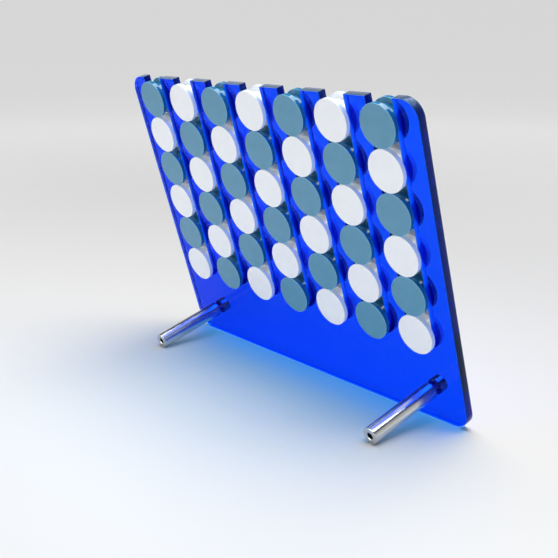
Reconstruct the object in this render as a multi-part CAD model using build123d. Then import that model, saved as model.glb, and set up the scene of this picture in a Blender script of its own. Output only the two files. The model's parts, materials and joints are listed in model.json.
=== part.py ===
from build123d import *
import os
from math import atan2, degrees

# A giant four-in-a-row game. A thick comb of clear blue acrylic leans forward on two round
# metal legs, and its slots, open at the top, hold stacks of spool-shaped game pieces.
#
# Millimetres, +Z up, standing on the floor at Z = 0. X runs along the board's width, and the
# legs stand out towards -Y, the side that the board leans to. The pieces are first placed in
# the board's own frame, then tilted together: there X is along the width, Y goes through the
# board from its leg-side face at 0, and Z climbs the board from its lower edge at 0.

# Driving dimensions: the board
COLUMNS = "abcdefg"
SLOT_WIDTH = 44.0
TINE_WIDTH = 36.5
BOARD_HEIGHT = 458.0
BOARD_THICKNESS = 12.0
CORNER_RADIUS = 25.0
BOARD_EDGE_BREAK = 0.4

# Driving dimensions: the game pieces, each two discs bonded to a hub
ROWS = 6
DISC_DIAMETER = 57.0
DISC_THICKNESS = 6.2
DISC_EDGE_BREAK = 0.5
HUB_DIAMETER = 43.0
FIRST_ROW_HEIGHT = 139.0
STACK_CLEARANCE = 0.3
LEG_SIDE_GAP = 3.0
FAR_SIDE_GAP = 0.3

# Driving dimensions: the legs and the fasteners that hold them
LEG_DIAMETER = 24.0
LEG_LENGTH = 118.0
LEG_SPACING = 484.0
LEG_HEIGHT = 47.0
CAP_LENGTH = 13.0
METAL_EDGE_BREAK = 0.8
WASHER_DIAMETER = 22.0
WASHER_THICKNESS = 1.0
STUD_DIAMETER = 6.0
STUD_HOLE_DIAMETER = 7.0
FOOT_THREAD_DIAMETER = 10.0
THREAD_CLEARANCE = 0.05
THREAD_COUNTERSINK = 0.8
FOOT_THREAD_DEPTH = 24.0
ROOT_THREAD_DEPTH = 16.0
CAP_THREAD_DEPTH = 9.0
STUD_END_GAP = 1.0

# Worked out from these
COLUMN_PITCH = SLOT_WIDTH + TINE_WIDTH
ROW_PITCH = DISC_DIAMETER + STACK_CLEARANCE
BOARD_WIDTH = len(COLUMNS) * COLUMN_PITCH + TINE_WIDTH
LEG_ROOT = -WASHER_THICKNESS
LEG_END = LEG_ROOT - LEG_LENGTH
CAP_ROOT = BOARD_THICKNESS + WASHER_THICKNESS

# The board's lower edge and the lower rims of the legs' free ends meet the floor together.
LEAN = degrees(
    atan2(
        LEG_HEIGHT - LEG_DIAMETER / 2,
        BOARD_EDGE_BREAK - (LEG_END + METAL_EDGE_BREAK),
    )
)


def column_x(column):
    """The middle of a column, counted from 0 at the left."""
    return (column - (len(COLUMNS) - 1) / 2) * COLUMN_PITCH


def row_z(row):
    """How far up the board a row's piece centres are, counted from 0 at the bottom."""
    return FIRST_ROW_HEIGHT + row * ROW_PITCH


def round_bar(diameter, y_from, y_to):
    """A plain round bar along Y."""
    bar = Cylinder(diameter / 2, y_to - y_from, align=(Align.CENTER, Align.CENTER, Align.MIN))
    return Pos(Y=y_from) * Rot(X=-90) * bar


def broken_bar(diameter, y_from, y_to, edge_break):
    """A round bar along Y with both of its rims broken."""
    bar = round_bar(diameter, y_from, y_to)
    return chamfer(bar.edges().filter_by(GeomType.CIRCLE), edge_break)


def threaded_hole(diameter, mouth, bottom):
    """A countersunk blind hole along Y at the thread's full diameter, from mouth to bottom."""
    hole = round_bar(diameter, min(mouth, bottom), max(mouth, bottom))
    countersink = Cone(
        diameter / 2 + THREAD_COUNTERSINK,
        diameter / 2,
        THREAD_COUNTERSINK,
        align=(Align.CENTER, Align.CENTER, Align.MIN),
    )
    inwards = -90 if bottom > mouth else 90
    return hole + Pos(Y=mouth) * Rot(X=inwards) * countersink


def board():
    """The comb-shaped sheet, with a round-bottomed slot for each column."""
    outline = Pos(Y=BOARD_HEIGHT / 2) * RectangleRounded(BOARD_WIDTH, BOARD_HEIGHT, CORNER_RADIUS)
    slot_length = BOARD_HEIGHT - row_z(0)
    for column in range(len(COLUMNS)):
        slot = Rectangle(SLOT_WIDTH, slot_length, align=(Align.CENTER, Align.MIN))
        outline -= Pos(column_x(column), row_z(0)) * (slot + Circle(SLOT_WIDTH / 2))
    for side in (-1, 1):
        outline -= Pos(side * LEG_SPACING / 2, LEG_HEIGHT) * Circle(STUD_HOLE_DIAMETER / 2)
    sheet = extrude(Plane.XZ * outline, amount=-BOARD_THICKNESS)
    faces = sheet.faces().filter_by(Axis.Y).sort_by(Axis.Y)
    return chamfer(faces[0].edges() + faces[-1].edges(), BOARD_EDGE_BREAK)


def game_piece():
    """Two discs and the hub between them, which rides in a slot, as three bonded solids."""
    hub_from = -LEG_SIDE_GAP
    hub_to = BOARD_THICKNESS + FAR_SIDE_GAP
    leg_side_disc = broken_bar(DISC_DIAMETER, hub_from - DISC_THICKNESS, hub_from, DISC_EDGE_BREAK)
    hub = round_bar(HUB_DIAMETER, hub_from, hub_to)
    far_side_disc = broken_bar(DISC_DIAMETER, hub_to, hub_to + DISC_THICKNESS, DISC_EDGE_BREAK)
    return [leg_side_disc, hub, far_side_disc]


def leg():
    """A round leg, tapped for a foot at its free end and for its stud at its root."""
    bar = broken_bar(LEG_DIAMETER, LEG_END, LEG_ROOT, METAL_EDGE_BREAK)
    bar -= threaded_hole(FOOT_THREAD_DIAMETER, LEG_END, LEG_END + FOOT_THREAD_DEPTH)
    return bar - threaded_hole(STUD_DIAMETER, LEG_ROOT, LEG_ROOT - ROOT_THREAD_DEPTH)


def cap():
    """The round nut that clamps a leg from the far side of the board."""
    bar = broken_bar(LEG_DIAMETER, CAP_ROOT, CAP_ROOT + CAP_LENGTH, METAL_EDGE_BREAK)
    return bar - threaded_hole(STUD_DIAMETER, CAP_ROOT, CAP_ROOT + CAP_THREAD_DEPTH)


def stud():
    """The threaded rod that runs from a leg, through the board, into its cap."""
    y_from = LEG_ROOT - ROOT_THREAD_DEPTH + STUD_END_GAP
    y_to = CAP_ROOT + CAP_THREAD_DEPTH - STUD_END_GAP
    return broken_bar(STUD_DIAMETER - 2 * THREAD_CLEARANCE, y_from, y_to, METAL_EDGE_BREAK)


def washer(y_from):
    """A thin clear washer that keeps metal off the acrylic."""
    ring = round_bar(WASHER_DIAMETER, y_from, y_from + WASHER_THICKNESS)
    return ring - round_bar(STUD_HOLE_DIAMETER, y_from, y_from + WASHER_THICKNESS)


def leg_sets():
    """Each leg with its stud, washers and cap, by node name."""
    nodes = {}
    for name, side in (("left", -1), ("right", 1)):
        place = Pos(side * LEG_SPACING / 2, 0, LEG_HEIGHT)
        nodes[f"{name}_leg"] = [place * leg()]
        nodes[f"{name}_leg_stud"] = [place * stud()]
        nodes[f"{name}_leg_cap"] = [place * cap()]
        nodes[f"{name}_leg_washer"] = [place * washer(LEG_ROOT)]
        nodes[f"{name}_cap_washer"] = [place * washer(BOARD_THICKNESS)]
    return nodes


def game_pieces():
    """The full board of pieces in alternating colours, by node name."""
    nodes = {}
    for column, letter in enumerate(COLUMNS):
        for row in range(ROWS):
            colour = "teal" if (column + row) % 2 else "white"
            place = Pos(column_x(column), 0, row_z(row))
            nodes[f"{colour}_piece_{letter}{row + 1}"] = [place * solid for solid in game_piece()]
    return nodes


def standing_place(nodes):
    """Tilts the board's frame, stands it on the floor and centres its footprint on the origin."""
    tilt = Rot(X=LEAN)
    box = Compound([tilt * solid for solids in nodes.values() for solid in solids]).bounding_box()
    return Pos(0, -box.center().Y, -box.min.Z) * tilt


def main():
    nodes = {"board": [board()]} | leg_sets() | game_pieces()
    place = standing_place(nodes)
    os.makedirs("parts", exist_ok=True)
    for name, solids in nodes.items():
        placed = [place * solid for solid in solids]
        shape = placed[0] if len(placed) == 1 else Compound(placed)
        export_step(shape, f"parts/{name}.step")
    print("lean", round(LEAN, 3), "degrees,", len(nodes), "nodes")


main()
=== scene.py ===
import json
from math import ceil, cos, pi, sin, tan

import bmesh
import bpy
from mathutils import Matrix, Vector


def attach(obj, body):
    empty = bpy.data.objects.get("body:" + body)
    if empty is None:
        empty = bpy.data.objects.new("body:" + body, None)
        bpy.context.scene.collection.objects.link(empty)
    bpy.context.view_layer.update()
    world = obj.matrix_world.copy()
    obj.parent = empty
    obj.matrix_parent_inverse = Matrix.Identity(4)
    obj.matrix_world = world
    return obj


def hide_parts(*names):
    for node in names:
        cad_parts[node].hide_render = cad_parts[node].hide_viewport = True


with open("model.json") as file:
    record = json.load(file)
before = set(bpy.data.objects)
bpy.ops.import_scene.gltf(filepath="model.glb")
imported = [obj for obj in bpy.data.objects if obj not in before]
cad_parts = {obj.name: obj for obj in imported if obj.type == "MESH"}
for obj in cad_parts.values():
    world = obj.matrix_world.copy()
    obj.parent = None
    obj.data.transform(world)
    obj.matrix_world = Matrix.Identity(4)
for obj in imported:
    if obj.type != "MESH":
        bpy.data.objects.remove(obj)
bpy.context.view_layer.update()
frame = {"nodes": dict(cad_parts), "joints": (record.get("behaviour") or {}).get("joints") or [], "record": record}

# Metres. The board's own axes are X along its width, Y through it from the leg side to the
# far side, and Z up its slope, which is the way that the game pieces lift out.
MM = 0.001
UP = Vector(frame["joints"][0]["axis"]).normalized()
WIDE = Vector((1, 0, 0))
THROUGH = UP.cross(WIDE)
TILT = Matrix((WIDE, THROUGH, UP)).transposed()

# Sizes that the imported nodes' extents don't give by themselves
SLOT_WIDTH = 44 * MM
BOARD_CORNER = 25 * MM
SLOT_CORNER = 0.5 * MM
BOARD_EDGE = 0.4 * MM
BOARD_FAR_EDGE = 0.15 * MM
STUD_HOLE = 7 * MM
DISC_THICKNESS = 6.2 * MM
DISC_EDGE = 0.45 * MM
HUB_DIAMETER = 43 * MM
HUB_EDGE = 0.15 * MM
METAL_EDGE = 0.88 * MM
CAP_ROOT_EDGE = 0.5 * MM
WASHER_EDGE = 0.2 * MM
FOOT_HOLE_DEPTH = 24 * MM
FOOT_HOLE_DIAMETER = 10 * MM
COUNTERSINK = 0.5 * MM
MOUTH_EASE = 0.12 * MM
MOUTH_LIP = 0.1 * MM
THREAD_RUNOUT = 3 * MM
DRILL_SHOULDER = 1 * MM
THREAD_HEIGHT = 0.8 * MM
GROOVE_SHARE = 0.9
FOOT_PITCH = 1.5 * MM
STUD_PITCH = 1.0 * MM

# How finely the meshes are cut
SIDES = 128
SMALL_SIDES = 96
STUD_SIDES = 64
HOLE_SIDES = 64
EDGE_STEPS = 3
ARC_STEP = 1.2 * MM
FINE_STEP = 0.4 * MM
COINCIDENT = 1e-7

# The body that doesn't move, and the lowest piece of the first column
BASE = "board_and_legs"
FIRST_PIECE = "white_piece_a1"

# Looks: acrylic that isn't clear
ACRYLIC_IOR = 1.49
CAST_GLOSS = (0.03, 0.07)
RIM_GLOSS = (0.05, 0.12)
EDGE_GLOSS = (0.15, 0.25)

# Looks: the clear blue sheet. Its indices are lower than real acrylic's, which keeps its
# reflections of the pale studio weak and its edges dark.
FACE_IOR = 1.2
CUT_IOR = 1.3
BLUE_MIRROR = (0.05, 0.35, 1.0)
BLUE_INSIDE = (0.0, 0.54, 0.985)
BLUE_DENSITY = 385.0
FACE_RIPPLE = (30, (1, 1, 1), 0.03)
CUT_RIPPLE = (800, (1, 20, 1), 0.02)
FACING_UP = (0.3, 0.9)
FOOT_FADE = (4 * MM, 12 * MM)
INNER_GLOW = 0.35

# Looks: metal. Its marks run along it or round it.
ALONG = (1, 14, 1)
ROUND = (1, 0.35, 1)
DARKER_MARKS = 0.93


# ---------------------------------------------------------------- places in the frame


def extents(node):
    """A CAD node's lowest and highest corner, in the board's own axes."""
    local = [TILT.transposed() @ v.co for v in frame["nodes"][node].data.vertices]
    return [Vector(f(p[i] for p in local) for i in range(3)) for f in (min, max)]


def stand(obj, x, y, z):
    """Puts an object at a place given in the board's own axes."""
    obj.location = TILT @ Vector((x, y, z))


# ---------------------------------------------------------------- mesh building


def soften(corners, closed=True, step=ARC_STEP):
    """Points round a line of (u, v, radius) corners, each turned into an arc of its radius.

    Straight runs get a point a little way before and after each arc, so that smooth shading
    stays flat along the run."""
    points = []
    count = len(corners)
    for i, (u, v, radius) in enumerate(corners):
        here = Vector((u, v))
        if radius == 0 or (not closed and i in (0, count - 1)):
            points.append(here)
            continue
        before = Vector(corners[i - 1][:2]) - here
        after = Vector(corners[(i + 1) % count][:2]) - here
        room = min(before.length, after.length)
        before.normalize()
        after.normalize()
        half = before.angle(after) / 2
        reach = radius / tan(half)
        middle = here + (before + after).normalized() * radius / sin(half)
        start = here + before * reach - middle
        sweep = start.angle_signed(here + after * reach - middle)
        steps = max(4, ceil(abs(sweep) * radius / step))
        margin = reach + min(radius / 2, MM)
        if margin < room / 2:
            points.append(here + before * margin)
        for k in range(steps + 1):
            points.append(middle + Matrix.Rotation(-sweep * k / steps, 2) @ start)
        if margin < room / 2:
            points.append(here + after * margin)
    kept = []
    for point in points:
        if not kept or (point - kept[-1]).length > COINCIDENT:
            kept.append(point)
    if closed and (kept[0] - kept[-1]).length < COINCIDENT:
        kept.pop()
    return kept


def inset(loop, distance):
    """The closed loop with each point moved to its left by that distance, corners mitred."""
    moved = []
    for i, point in enumerate(loop):
        into = (point - loop[i - 1]).normalized()
        out = (loop[(i + 1) % len(loop)] - point).normalized()
        normal = Vector((-into.y - out.y, into.x + out.x)).normalized()
        side = Vector((-into.y, into.x))
        moved.append(point + normal * distance / max(normal.dot(side), 0.2))
    return moved


def finished_mesh(name, build, turn=TILT):
    """Turns a bmesh into a named mesh, with its faces pointing out and its axes the board's."""
    bmesh.ops.recalc_face_normals(build, faces=build.faces[:])
    bmesh.ops.transform(build, matrix=turn.to_4x4(), verts=build.verts)
    mesh = bpy.data.meshes.new(name)
    build.to_mesh(mesh)
    build.free()
    return mesh


def lathe(name, line, sides=SIDES, ring=False, material_of=None, turn=TILT):
    """Turns a line of (radius, along) points about Y. A ring's line closes on itself."""
    build = bmesh.new()
    rings = []
    for point in line:
        turns = 1 if point[0] < COINCIDENT else sides
        angles = [2 * pi * k / turns for k in range(turns)]
        rings.append(
            [build.verts.new((point[0] * sin(a), point[1], point[0] * cos(a))) for a in angles]
        )
    for i in range(len(rings) - (0 if ring else 1)):
        low, high = rings[i], rings[(i + 1) % len(rings)]
        for k in range(sides):
            corners = [
                low[k % len(low)],
                low[(k + 1) % len(low)],
                high[(k + 1) % len(high)],
                high[k % len(high)],
            ]
            face = build.faces.new(list(dict.fromkeys(corners)))
            face.smooth = True
            if material_of:
                face.material_index = material_of(line[i], line[(i + 1) % len(line)])
    return finished_mesh(name, build, turn)


def cover(mesh, *materials):
    """Gives a mesh its materials, in the order of its faces' material numbers."""
    for material in materials:
        mesh.materials.append(material)
    return mesh


def add_piece(name, mesh, place, body, replaced):
    """Links a mesh as a piece of the object, at a place in the board's own axes."""
    obj = bpy.data.objects.new(name, mesh)
    bpy.context.scene.collection.objects.link(obj)
    stand(obj, *place)
    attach(obj, body)
    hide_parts(*replaced)
    return obj


# ---------------------------------------------------------------- materials


def new_material(name, sockets):
    """A material with one Principled shader, with these values set on its sockets."""
    material = bpy.data.materials.new(name)
    material.use_nodes = True
    shader = material.node_tree.nodes["Principled BSDF"]
    for socket, value in sockets.items():
        shader.inputs[socket].default_value = value
    return material, shader


def pattern(material, scale, stretch=(1, 1, 1), detail=3.0, roughness=0.5):
    """A noise with this many features to the metre, stretched along the board's own axes."""
    nodes, links = material.node_tree.nodes, material.node_tree.links
    place = nodes.new("ShaderNodeTexCoord")
    stretched = nodes.new("ShaderNodeMapping")
    stretched.vector_type = "TEXTURE"
    stretched.inputs["Rotation"].default_value = TILT.to_euler()
    stretched.inputs["Scale"].default_value = stretch
    noise = nodes.new("ShaderNodeTexNoise")
    noise.inputs["Scale"].default_value = scale
    noise.inputs["Detail"].default_value = detail
    noise.inputs["Roughness"].default_value = roughness
    links.new(place.outputs["Object"], stretched.inputs["Vector"])
    links.new(stretched.outputs["Vector"], noise.inputs["Vector"])
    return noise.outputs["Fac"]


def spread(material, fac, low, high, start=0.3, end=0.7):
    """A pattern stretched to run from low to high."""
    ramp = material.node_tree.nodes.new("ShaderNodeMapRange")
    ramp.interpolation_type = "SMOOTHSTEP"
    ramp.inputs["From Min"].default_value = start
    ramp.inputs["From Max"].default_value = end
    ramp.inputs["To Min"].default_value = low
    ramp.inputs["To Max"].default_value = high
    material.node_tree.links.new(fac, ramp.inputs["Value"])
    return ramp.outputs["Result"]


def combine(material, operation, first, second):
    """Two values taken together by a Math node's operation."""
    node = material.node_tree.nodes.new("ShaderNodeMath")
    node.operation = operation
    material.node_tree.links.new(first, node.inputs[0])
    material.node_tree.links.new(second, node.inputs[1])
    return node.outputs["Value"]


def tint(material, fac, first, second):
    """A colour that drifts between two others as a pattern does."""
    mix = material.node_tree.nodes.new("ShaderNodeMix")
    mix.data_type = "RGBA"
    colours = [s for s in mix.inputs if s.type == "RGBA"]
    colours[0].default_value = (*first, 1)
    colours[1].default_value = (*second, 1)
    material.node_tree.links.new(fac, mix.inputs[0])
    return next(s for s in mix.outputs if s.type == "RGBA")


def bump(material, shader, height, strength, distance):
    """Raises a shader's surface by a pattern."""
    node = material.node_tree.nodes.new("ShaderNodeBump")
    node.inputs["Strength"].default_value = strength
    node.inputs["Distance"].default_value = distance
    material.node_tree.links.new(height, node.inputs["Height"])
    material.node_tree.links.new(node.outputs["Normal"], shader.inputs["Normal"])


def wire(material, output, shader, socket):
    """Drives one of a shader's sockets by a node's output."""
    material.node_tree.links.new(output, shader.inputs[socket])


def split_axes(material, vector):
    """The X, Y and Z of a vector."""
    split = material.node_tree.nodes.new("ShaderNodeSeparateXYZ")
    material.node_tree.links.new(vector, split.inputs["Vector"])
    return split.outputs


def cast_acrylic(name, first, second):
    """Solid-coloured cast acrylic: a polished face with the faintest ripple and wipe marks."""
    material, shader = new_material(name, {"IOR": ACRYLIC_IOR})
    drift = spread(material, pattern(material, 45, detail=4), 0, 1, 0.35, 0.65)
    wire(material, tint(material, drift, first, second), shader, "Base Color")
    marks = pattern(material, 160, (1, 1, 0.4), detail=6, roughness=0.65)
    wire(material, spread(material, marks, *CAST_GLOSS), shader, "Roughness")
    bump(material, shader, pattern(material, 60, detail=1), 0.06, 0.2 * MM)
    return material


def cut_acrylic(name, first, second, gloss, glow=None, strength=0.0):
    """A laser-cut rim, with fine striations across its thickness.

    A glow is painted light that lifts a rim out of its shade; it stands for the light that white acrylic lets
    through."""
    sockets = {"IOR": ACRYLIC_IOR}
    if glow:
        sockets |= {"Emission Color": (*glow, 1), "Emission Strength": strength}
    material, shader = new_material(name, sockets)
    lines = pattern(material, 900, (1, 25, 1), detail=2)
    colour = tint(material, spread(material, lines, 0, 1), first, second)
    wire(material, colour, shader, "Base Color")
    wire(material, spread(material, lines, *gloss), shader, "Roughness")
    bump(material, shader, lines, 0.25, 0.05 * MM)
    return material


def clear_blue(name, gloss, ripple, transmission, ior):
    """Transparent deep blue acrylic, tinted by how far light runs inside it.

    Its ripple is given as a pattern's scale and stretch, and a strength."""
    scale, stretch, strength = ripple
    material, shader = new_material(
        name,
        {
            "Base Color": (1, 1, 1, 1),
            "Transmission Weight": transmission,
            "IOR": ior,
            "Specular Tint": (*BLUE_MIRROR, 1),
        },
    )
    marks = pattern(material, 120, detail=5, roughness=0.6)
    wire(material, spread(material, marks, *gloss), shader, "Roughness")
    bump(material, shader, pattern(material, scale, stretch, detail=2), strength, 0.05 * MM)
    nodes, links = material.node_tree.nodes, material.node_tree.links
    inside = nodes.new("ShaderNodeVolumeAbsorption")
    inside.inputs["Color"].default_value = (*BLUE_INSIDE, 1)
    inside.inputs["Density"].default_value = BLUE_DENSITY
    links.new(inside.outputs["Volume"], nodes["Material Output"].inputs["Volume"])
    return material, shader


def polished_blue(name):
    """The blue sheet's polished face."""
    return clear_blue(name, (0.0, 0.015), FACE_RIPPLE, 1.0, FACE_IOR)[0]


def cut_blue(name, gloss, transmission, sideways, painted_top_light, glow):
    """A cut edge of the blue sheet, a little frosted. Its colour is painted lighter where it faces up, a painted
    light from above.

    It glows along the sheet's foot, and less on the inside of every wall: a painted glow, which stands for
    the light that a clear sheet carries to its edges."""
    material, shader = clear_blue(name, gloss, CUT_RIPPLE, transmission, CUT_IOR)
    nodes = material.node_tree.nodes
    place = nodes.new("ShaderNodeTexCoord")
    facing = split_axes(material, place.outputs["Normal"])["Z"]
    upness = spread(material, facing, 0, 1, *FACING_UP)
    wire(material, tint(material, upness, sideways, painted_top_light), shader, "Base Color")
    height = split_axes(material, place.outputs["Object"])["Z"]
    foot = spread(material, height, 1, 0, *FOOT_FADE)
    geometry = nodes.new("ShaderNodeNewGeometry")
    inner = spread(material, geometry.outputs["Backfacing"], 0, INNER_GLOW, 0, 1)
    shader.inputs["Emission Color"].default_value = (*glow, 1)
    wire(material, combine(material, "MAXIMUM", foot, inner), shader, "Emission Strength")
    return material


def metal(name, colour, gloss, stretch, strength):
    """Worked metal, with fine marks that run along it or round it."""
    material, shader = new_material(name, {"Metallic": 1.0})
    marks = pattern(material, 700, stretch, detail=3)
    darker = [c * DARKER_MARKS for c in colour]
    shade = tint(material, spread(material, marks, 0, 1), colour, darker)
    wire(material, shade, shader, "Base Color")
    wire(material, spread(material, marks, *gloss), shader, "Roughness")
    bump(material, shader, marks, strength, 0.02 * MM)
    return material


def clear_plastic(name):
    """Clear plastic with a dull, uneven surface."""
    material, shader = new_material(
        name,
        {"Base Color": (0.93, 0.95, 0.97, 1), "Transmission Weight": 0.85, "IOR": 1.46},
    )
    dulling = spread(material, pattern(material, 300), 0.12, 0.3)
    wire(material, dulling, shader, "Roughness")
    return material


# Each disc's eased edges are painted lighter than its face, a painted highlight. The teal rim, which the teal hub
# shares, is painted darker than the face, a painted shade.
TEAL_FACE = cast_acrylic("teal_face", (0.082, 0.25, 0.38), (0.09, 0.265, 0.40))
TEAL_RIM = cut_acrylic("teal_rim", (0.01, 0.17, 0.36), (0.02, 0.19, 0.40), RIM_GLOSS)
TEAL_EDGE = cut_acrylic("teal_edge", (0.2, 0.5, 0.75), (0.24, 0.54, 0.8), EDGE_GLOSS)
WHITE_FACE = cast_acrylic("white_face", (0.80, 0.82, 0.86), (0.82, 0.84, 0.87))
# The white rim is painted pale blue for the blue light that the sheet throws on it. The white rim and hub glow a
# little: painted light that lifts them out of their shade.
WHITE_RIM = cut_acrylic(
    "white_rim", (0.62, 0.75, 0.96), (0.66, 0.78, 0.98), RIM_GLOSS, (0.5, 0.7, 1.0), 0.2
)
WHITE_HUB = cut_acrylic(
    "white_hub", (0.78, 0.84, 0.90), (0.82, 0.87, 0.93), RIM_GLOSS, (0.85, 0.92, 1.0), 0.3
)
# The white eased edge is painted lighter than the white face: a painted highlight.
WHITE_EDGE = cut_acrylic("white_edge", (0.88, 0.92, 0.96), (0.9, 0.94, 0.97), EDGE_GLOSS)
BLUE_FACE = polished_blue("blue_face")
# The sheet's cut walls and eased edges are painted lighter where they face up, a painted light from above, and
# glow at the foot and from inside: a painted glow.
BLUE_WALL = cut_blue(
    "blue_wall", (0.12, 0.2), 0.75, (0.01, 0.03, 0.16), (0.14, 0.27, 0.26), (0.0, 0.2, 0.8)
)
BLUE_EDGE = cut_blue(
    "blue_edge", (0.15, 0.25), 0.5, (0.02, 0.25, 0.95), (0.5, 0.75, 0.95), (0.4, 0.8, 1.0)
)
POLISHED = metal("polished_steel", (0.68, 0.70, 0.70), (0.2, 0.28), ALONG, 0.05)
DARK_METAL = metal("dark_steel", (0.30, 0.32, 0.34), (0.12, 0.2), ALONG, 0.05)
# The tapped bore is painted near black: painted shade deep in the hole.
BORE = metal("tapped_bore", (0.05, 0.05, 0.055), (0.45, 0.6), ROUND, 0.1)
TURNED = metal("turned_steel", (0.62, 0.62, 0.64), (0.18, 0.32), ROUND, 0.15)
CLEAR_PLASTIC = clear_plastic("washer_plastic")


# ---------------------------------------------------------------- the board


def comb_outline(width, height, slot_middles, slot_bottom):
    """The board's outline, anticlockwise from the lower left corner."""
    half = SLOT_WIDTH / 2
    corners = [
        (-width / 2, 0, BOARD_CORNER),
        (width / 2, 0, BOARD_CORNER),
        (width / 2, height, BOARD_CORNER),
    ]
    for x in reversed(slot_middles):
        corners.append((x + half, height, SLOT_CORNER))
        corners.append((x + half, slot_bottom, half))
        corners.append((x - half, slot_bottom, half))
        corners.append((x - half, height, SLOT_CORNER))
    corners.append((-width / 2, height, BOARD_CORNER))
    return soften(corners)


def circle(x, z, radius, sides=HOLE_SIDES):
    """A clockwise circle, so that its left is away from its middle."""
    angles = [-2 * pi * k / sides for k in range(sides)]
    return [Vector((x + radius * cos(a), z + radius * sin(a))) for a in angles]


def sheet_mesh(name, loops, thickness, edge, far_edge):
    """A sheet with these outlines, from Y = 0 to its thickness, with rounded edges.

    Its faces have material 0, its cut walls 1 and its rounded edges 2."""
    build = bmesh.new()
    turns = [pi / 2 * k / EDGE_STEPS for k in range(EDGE_STEPS + 1)]
    section = [(edge * (1 - sin(a)), edge * (1 - cos(a))) for a in turns]
    section += [
        (far_edge * (1 - sin(a)), thickness - far_edge * (1 - cos(a))) for a in reversed(turns)
    ]
    ends = ([], [])
    for loop in loops:
        rings = []
        for pull, depth in section:
            points = inset(loop, pull)
            rings.append([build.verts.new((p.x, depth, p.y)) for p in points])
        walls = rings[EDGE_STEPS]
        for low, high in zip(rings, rings[1:]):
            for k in range(len(loop)):
                after = (k + 1) % len(loop)
                face = build.faces.new([low[k], low[after], high[after], high[k]])
                face.smooth = True
                face.material_index = 1 if low is walls else 2
        for end, ring in zip(ends, (rings[0], rings[-1])):
            for k in range(len(ring)):
                end.append(build.edges.get((ring[k], ring[(k + 1) % len(ring)])))
    for end in ends:
        bmesh.ops.triangle_fill(build, edges=end, use_beauty=True, use_dissolve=False)
    return finished_mesh(name, build)


def make_board(bodies):
    """The comb-shaped sheet, with its slots round the pieces and a hole behind each leg."""
    low, high = extents("board")
    size = high - low
    middle = (low.x + high.x) / 2
    columns = sorted({name[-2] for name in bodies if name.startswith("piece_")})
    centres = []
    for column in columns:
        piece_low, piece_high = extents(bodies[f"piece_{column}1"][0])
        centres.append((piece_low + piece_high) / 2)
    slot_middles = [centre.x - middle for centre in centres]
    slot_bottom = centres[0].z - low.z - SLOT_WIDTH / 2
    loops = [comb_outline(size.x, size.z, slot_middles, slot_bottom)]
    for side in ("left", "right"):
        leg_low, leg_high = extents(side + "_leg")
        leg = (leg_low + leg_high) / 2
        loops.append(circle(leg.x - middle, leg.z - low.z, STUD_HOLE / 2))
    mesh = sheet_mesh("board", loops, size.y, BOARD_EDGE, BOARD_FAR_EDGE)
    cover(mesh, BLUE_FACE, BLUE_WALL, BLUE_EDGE)
    place = (middle, low.y, low.z)
    return add_piece("blue_board", mesh, place, BASE, ["board"])


# ---------------------------------------------------------------- the game pieces


def disc_mesh(name, radius, thickness):
    """A disc from Y = 0 to its thickness, with eased rims.

    Its faces have material 0, its rim 1 and its eased edges 2."""
    edge = DISC_EDGE
    line = soften(
        [(0, 0, 0), (radius, 0, edge), (radius, thickness, edge), (0, thickness, 0)],
        closed=False,
    )

    def material_of(a, b):
        if min(a[0], b[0]) > radius - edge * 0.01:
            return 1
        return 2 if max(a[0], b[0]) > radius - edge * 0.99 else 0

    return lathe(name, line, material_of=material_of)


def hub_mesh(name, radius, length):
    """A hub from Y = 0 to its length."""
    corners = [(0, 0, 0), (radius, 0, HUB_EDGE), (radius, length, HUB_EDGE), (0, length, 0)]
    return lathe(name, soften(corners, closed=False), sides=SMALL_SIDES)


def make_pieces(bodies):
    """Every game piece: two discs and the hub between them."""
    looks = {
        "teal": ((TEAL_FACE, TEAL_RIM, TEAL_EDGE), TEAL_RIM),
        "white": ((WHITE_FACE, WHITE_RIM, WHITE_EDGE), WHITE_HUB),
    }
    low, high = extents(FIRST_PIECE)
    radius = (high.x - low.x) / 2
    hub_length = high.y - low.y - 2 * DISC_THICKNESS
    meshes = {}
    for colour, (disc_materials, hub_material) in looks.items():
        disc = cover(disc_mesh(colour + "_disc", radius, DISC_THICKNESS), *disc_materials)
        hub = cover(hub_mesh(colour + "_hub", HUB_DIAMETER / 2, hub_length), hub_material)
        meshes[colour] = disc, hub
    for body, nodes in sorted(bodies.items()):
        if not body.startswith("piece_"):
            continue
        node = nodes[0]
        colour = node.split("_")[0]
        disc, hub = meshes[colour]
        low, high = extents(node)
        x, z = (low.x + high.x) / 2, (low.z + high.z) / 2
        parts = (
            ("_leg_side_disc", disc, low.y),
            ("_hub", hub, low.y + DISC_THICKNESS),
            ("_far_disc", disc, high.y - DISC_THICKNESS),
        )
        for part, mesh, y in parts:
            add_piece(node + part, mesh, (x, y, z), body, [node])


# ---------------------------------------------------------------- the legs and fasteners


def threaded(start, end, radius, pitch, depth):
    """A line of ring grooves from start to end, at radius and depth inside or outside it."""
    points = []
    along = start
    direction = 1 if end > start else -1
    while (end - along) * direction > pitch:
        points.append((radius, along, 0))
        points.append((radius + depth, along + direction * pitch * 0.5, 0))
        along += direction * pitch
    points.append((radius, along, 0))
    return points


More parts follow.
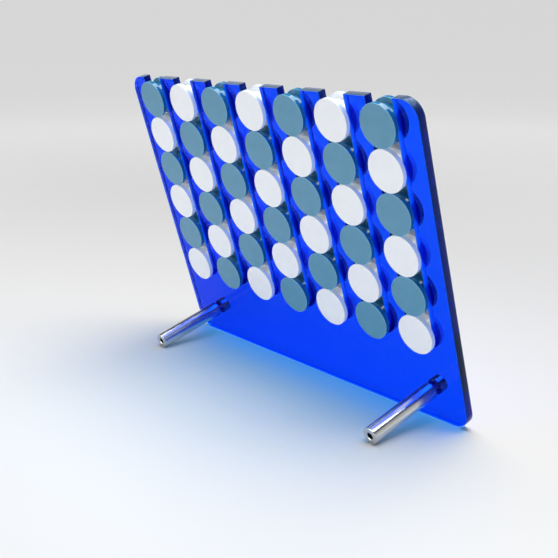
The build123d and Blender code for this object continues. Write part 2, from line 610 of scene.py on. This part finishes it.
def leg_mesh(radius, length):
    """A leg from its root at Y = 0 to its free end at -length, with a tapped foot hole."""
    wall = FOOT_HOLE_DIAMETER / 2
    bore = wall - THREAD_HEIGHT
    mouth = -length
    groove_start = mouth + COUNTERSINK + THREAD_HEIGHT
    groove_end = mouth + FOOT_HOLE_DEPTH - THREAD_RUNOUT
    line = [
        (0, 0, 0),
        (radius, 0, METAL_EDGE),
        (radius, mouth, METAL_EDGE),
        (wall + COUNTERSINK, mouth, MOUTH_EASE),
        (wall - MOUTH_LIP, mouth + COUNTERSINK + MOUTH_LIP, 0),
    ]
    line += threaded(groove_start, groove_end, bore, FOOT_PITCH, THREAD_HEIGHT * GROOVE_SHARE)
    line += [(bore, groove_end + DRILL_SHOULDER, 0), (0, mouth + FOOT_HOLE_DEPTH, 0)]

    def material_of(a, b):
        return 1 if max(a[0], b[0]) < wall and mouth < max(a[1], b[1]) < mouth / 2 else 0

    line = soften(line, closed=False, step=FINE_STEP)
    return cover(lathe("leg", line, material_of=material_of), POLISHED, BORE)


def cap_mesh(radius, length):
    """A cap from Y = 0, against its washer, to its far end."""
    corners = [
        (0, 0, 0),
        (radius, 0, CAP_ROOT_EDGE),
        (radius, length, METAL_EDGE),
        (0, length, 0),
    ]
    return cover(lathe("cap", soften(corners, closed=False, step=FINE_STEP)), DARK_METAL)


def stud_mesh(radius, length):
    """A threaded rod from Y = 0 to its length."""
    tip = radius - METAL_EDGE
    line = [(0, 0, 0), (tip, 0, 0)]
    line += threaded(METAL_EDGE, length - METAL_EDGE, radius, STUD_PITCH, -THREAD_HEIGHT)
    line += [(tip, length, 0), (0, length, 0)]
    return cover(lathe("stud", soften(line, closed=False), sides=STUD_SIDES), TURNED)


def washer_mesh(radius, thickness):
    """A washer from Y = 0 to its thickness."""
    inner = STUD_HOLE / 2
    corners = [(inner, 0), (radius, 0), (radius, thickness), (inner, thickness)]
    line = soften([(*corner, WASHER_EDGE) for corner in corners])
    return cover(lathe("washer", line, sides=SMALL_SIDES, ring=True), CLEAR_PLASTIC)


def make_legs():
    """Both legs, each with its cap, stud and washers."""
    fittings = (
        ("steel_", "_leg_cap", cap_mesh, "polished_metal"),
        ("steel_", "_leg_stud", stud_mesh, "stud_metal"),
        ("clear_", "_leg_washer", washer_mesh, "washer_plastic"),
        ("clear_", "_cap_washer", washer_mesh, "washer_plastic"),
    )
    for side in ("left", "right"):
        leg = side + "_leg"
        low, high = extents(leg)
        x, z = (low.x + high.x) / 2, (low.z + high.z) / 2
        mesh = leg_mesh((high.x - low.x) / 2, high.y - low.y)
        add_piece("steel_" + leg, mesh, (x, high.y, z), BASE, [leg])
        for look, fitting, build, slot in fittings:
            node = side + fitting
            low, high = extents(node)
            mesh = build((high.x - low.x) / 2, high.y - low.y)
            add_piece(look + node, mesh, (x, low.y, z), BASE, [node])


# ---------------------------------------------------------------- the studio

FLOOR_RADIUS = 5.0
FLOOR_RINGS = (0, 1.5, 3.0, FLOOR_RADIUS)
COVE_RADIUS = 3.0
COVE_STEPS = 16
WALL_HEIGHT = 6.0

# Ramps of the floor's look: from a value, to a value, starting at, ending at
# The floor's colour is painted darker towards the back and far off: a painted falloff of light.
PAINTED_FALLOFF_TO_BACK = (0.81, 0.62, -0.6, 1.0)
PAINTED_FALLOFF_AFAR = (1, 0.35, 2.0, 5.0)
GLOW_AFAR = (0, 0.62, 0.2, 3.8)
GLOW_UPWARDS = (1, 0.5, 1.6, 5.0)
GLOW_AS_LIGHT = (1, 0.09, 0, 1)

WORLD_STRENGTH = 0.03
CAMERA_LENS = 60.97
CAMERA_PLACE = Vector((1.0197, -0.8696, 0.5272))
CAMERA_TARGET = Vector((-0.3225, 0.2554, 0.0437))

OVERHEAD = {
    "place": (0.15, 0.29, 2.4),
    "target": (0, -0.1, 0),
    "size": (2.2, 2.0),
    "power": 82,
}
FRONT_FILL = {
    "place": (-0.6, -3.2, 0.9),
    "target": (0, 0, 0.2),
    "size": (3.0, 1.4),
    "power": 66,
}
LOW_GLOW = {"power": 0.15, "colour": (0.0, 0.58, 1.0)}
HIGH_GLOW = {"power": 0.32, "colour": (0.0, 0.62, 1.0)}
LOW_GLOW_GAP = 1 * MM
HIGH_GLOW_GAP = 3 * MM
BACKLIGHT_POWER = 0.5
BACKLIGHT_GAP = 12 * MM
BACKLIGHT_MARGIN = (0.2, 0.1)
BACKLIGHT_FADE = (0.15, 1, 0.0, 0.8)


def floor_mesh():
    """A round floor that curves up into a wall."""
    line = [(radius, 0, 0) for radius in FLOOR_RINGS]
    for k in range(1, COVE_STEPS + 1):
        a = pi / 2 * k / COVE_STEPS
        line.append((FLOOR_RADIUS + COVE_RADIUS * sin(a), COVE_RADIUS * (1 - cos(a)), 0))
    line.append((FLOOR_RADIUS + COVE_RADIUS, WALL_HEIGHT, 0))
    upright = Matrix.Rotation(pi / 2, 3, "X")
    return lathe("floor", line, sides=SMALL_SIDES, turn=upright)


def paper():
    """Pale paper, painted darker towards the back and far off as a painted falloff of light, with a glow far from
    the object that shows more than it lights.
    """
    material, shader = new_material("paper", {"Specular IOR Level": 0.15})
    nodes, links = material.node_tree.nodes, material.node_tree.links
    place = nodes.new("ShaderNodeTexCoord").outputs["Object"]
    axes = split_axes(material, place)
    length = nodes.new("ShaderNodeVectorMath")
    length.operation = "LENGTH"
    links.new(place, length.inputs[0])
    distance = length.outputs["Value"]
    near = spread(material, axes["Y"], *PAINTED_FALLOFF_TO_BACK)
    fall = spread(material, distance, *PAINTED_FALLOFF_AFAR)
    wire(material, combine(material, "MULTIPLY", near, fall), shader, "Base Color")
    wire(material, spread(material, pattern(material, 200), 0.6, 0.7), shader, "Roughness")
    far = spread(material, distance, *GLOW_AFAR)
    low = spread(material, axes["Z"], *GLOW_UPWARDS)
    ray = nodes.new("ShaderNodeLightPath")
    lit = spread(material, ray.outputs["Is Diffuse Ray"], *GLOW_AS_LIGHT)
    glow = combine(material, "MULTIPLY", combine(material, "MULTIPLY", far, low), lit)
    shader.inputs["Emission Color"].default_value = (1, 1, 1, 1)
    wire(material, glow, shader, "Emission Strength")
    return material


def make_floor():
    """The pale floor and backdrop."""
    floor = bpy.data.objects.new("studio_floor", cover(floor_mesh(), paper()))
    bpy.context.scene.collection.objects.link(floor)
    return floor


def add_softbox(name, place, target, size, power, colour=(1, 1, 1)):
    """A rectangular lamp that the camera itself doesn't see."""
    data = bpy.data.lights.new(name, "AREA")
    data.shape = "RECTANGLE"
    data.size, data.size_y = size
    data.energy = power
    data.color = colour
    lamp = bpy.data.objects.new(name, data)
    lamp.location = place
    aim = Vector(target) - Vector(place)
    lamp.rotation_euler = aim.to_track_quat("-Z", "Y").to_euler()
    lamp.visible_camera = False
    bpy.context.scene.collection.objects.link(lamp)
    return lamp


def light_only(lamp, thing, state="INCLUDE"):
    """Makes one thing the only one that a lamp lights, or the only one that it doesn't."""
    receivers = bpy.data.collections.new(lamp.name + "_receivers")
    receivers.objects.link(thing)
    receivers.collection_objects[0].light_linking.link_state = state
    lamp.light_linking.receiver_collection = receivers


def fade_down(lamp):
    """Makes an area lamp shine most at its top and fade out towards its foot."""
    lamp.use_nodes = True
    nodes = lamp.node_tree.nodes
    across = split_axes(lamp, nodes.new("ShaderNodeNewGeometry").outputs["Parametric"])
    fade = spread(lamp, across["Y"], *BACKLIGHT_FADE)
    wire(lamp, fade, nodes["Emission"], "Strength")


def make_lights(floor, board):
    """Two soft boxes, the light that the blue sheet throws on the floor, and a backlight."""
    add_softbox("overhead", **OVERHEAD)
    light_only(add_softbox("front_fill", **FRONT_FILL), floor, "EXCLUDE")
    low, high = extents("board")
    piece_low, piece_high = extents(FIRST_PIECE)
    middle = (low.x + high.x) / 2
    bands = (
        ("low_glow", low.z, piece_low.z, low.y - LOW_GLOW_GAP, LOW_GLOW),
        ("high_glow", piece_low.z, high.z, piece_low.y - HIGH_GLOW_GAP, HIGH_GLOW),
    )
    for name, bottom, top, front, light in bands:
        place = TILT @ Vector((middle, front, (bottom + top) / 2))
        size = (high.x - low.x, top - bottom)
        light_only(add_softbox(name, place, place - THROUGH, size, **light), floor)
    place = TILT @ Vector((middle, piece_high.y + BACKLIGHT_GAP, (low.z + high.z) / 2))
    wider, taller = BACKLIGHT_MARGIN
    size = (high.x - low.x + wider, high.z - low.z + taller)
    backlight = add_softbox("backlight", place, place - THROUGH, size, BACKLIGHT_POWER)
    light_only(backlight, board)
    fade_down(backlight.data)


def make_world():
    """A faint white light from everywhere."""
    world = bpy.data.worlds.new("studio")
    bpy.context.scene.world = world
    world.use_nodes = True
    background = world.node_tree.nodes["Background"]
    background.inputs["Color"].default_value = (1, 1, 1, 1)
    background.inputs["Strength"].default_value = WORLD_STRENGTH


def make_camera():
    """The camera of the photograph."""
    data = bpy.data.cameras.new("camera")
    data.lens = CAMERA_LENS
    data.sensor_width = 36
    data.clip_start, data.clip_end = 0.05, 60
    camera = bpy.data.objects.new("camera", data)
    camera.location = CAMERA_PLACE
    aim = CAMERA_TARGET - CAMERA_PLACE
    camera.rotation_euler = aim.to_track_quat("-Z", "Y").to_euler()
    bpy.context.scene.collection.objects.link(camera)
    bpy.context.scene.camera = camera


bodies = frame["record"]["behaviour"]["bodies"]
blue_board = make_board(bodies)
make_pieces(bodies)
make_legs()
make_lights(make_floor(), blue_board)
make_world()
make_camera()
bpy.context.scene.view_settings.view_transform = "Standard"
